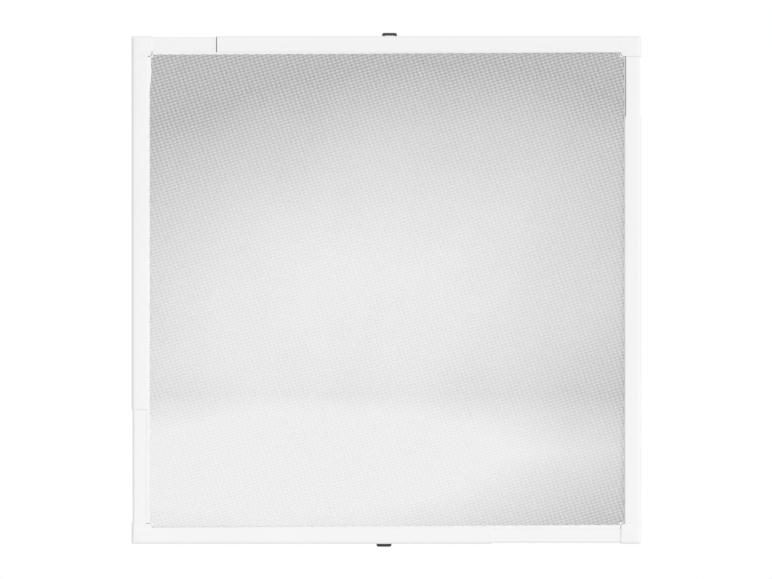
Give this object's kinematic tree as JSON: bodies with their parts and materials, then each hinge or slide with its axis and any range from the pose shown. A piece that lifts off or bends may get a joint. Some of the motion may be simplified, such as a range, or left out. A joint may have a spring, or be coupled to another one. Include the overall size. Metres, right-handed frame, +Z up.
{
  "type": "window screen frame",
  "caption": "Square telescopic insect screen for a window: white sleeves sliding over narrower rails, plastic corner blocks, grey mesh and small dark hanging hooks.",
  "frame": {"origin": "centre of the frame, on the plane of the rails' back faces, which is also the centre of the bounding box", "axes": "+Z up, +X to the right seen from the front, +Y towards the back, where the frame lies against the window; the front faces -Y"},
  "size_m": [0.56, 0.024, 0.568],
  "materials": {
    "rail_white": "white powder coat",
    "corner_white": "moulded, fine grain",
    "strip_white": "soft, smooth",
    "mesh_grey": "coated glass yarn",
    "hook_dark": "moulded, matt",
    "screw_steel": "zinc plated"
  },
  "bodies": {
    "root": {"top_sleeve": "rail_white", "right_sleeve": "rail_white", "bottom_sleeve": "rail_white", "left_sleeve": "rail_white", "top_slide": "rail_white", "right_slide": "rail_white", "bottom_slide": "rail_white", "left_slide": "rail_white", "corner_top_right": "corner_white", "corner_bottom_right": "corner_white", "corner_bottom_left": "corner_white", "corner_top_left": "corner_white", "top_strip": "strip_white", "right_strip": "strip_white", "bottom_strip": "strip_white", "left_strip": "strip_white", "insect_mesh": "mesh_grey", "top_hook": "hook_dark", "bottom_hook": "hook_dark", "top_hook_screw": "screw_steel", "bottom_hook_screw": "screw_steel"}
  },
  "joints": []
}
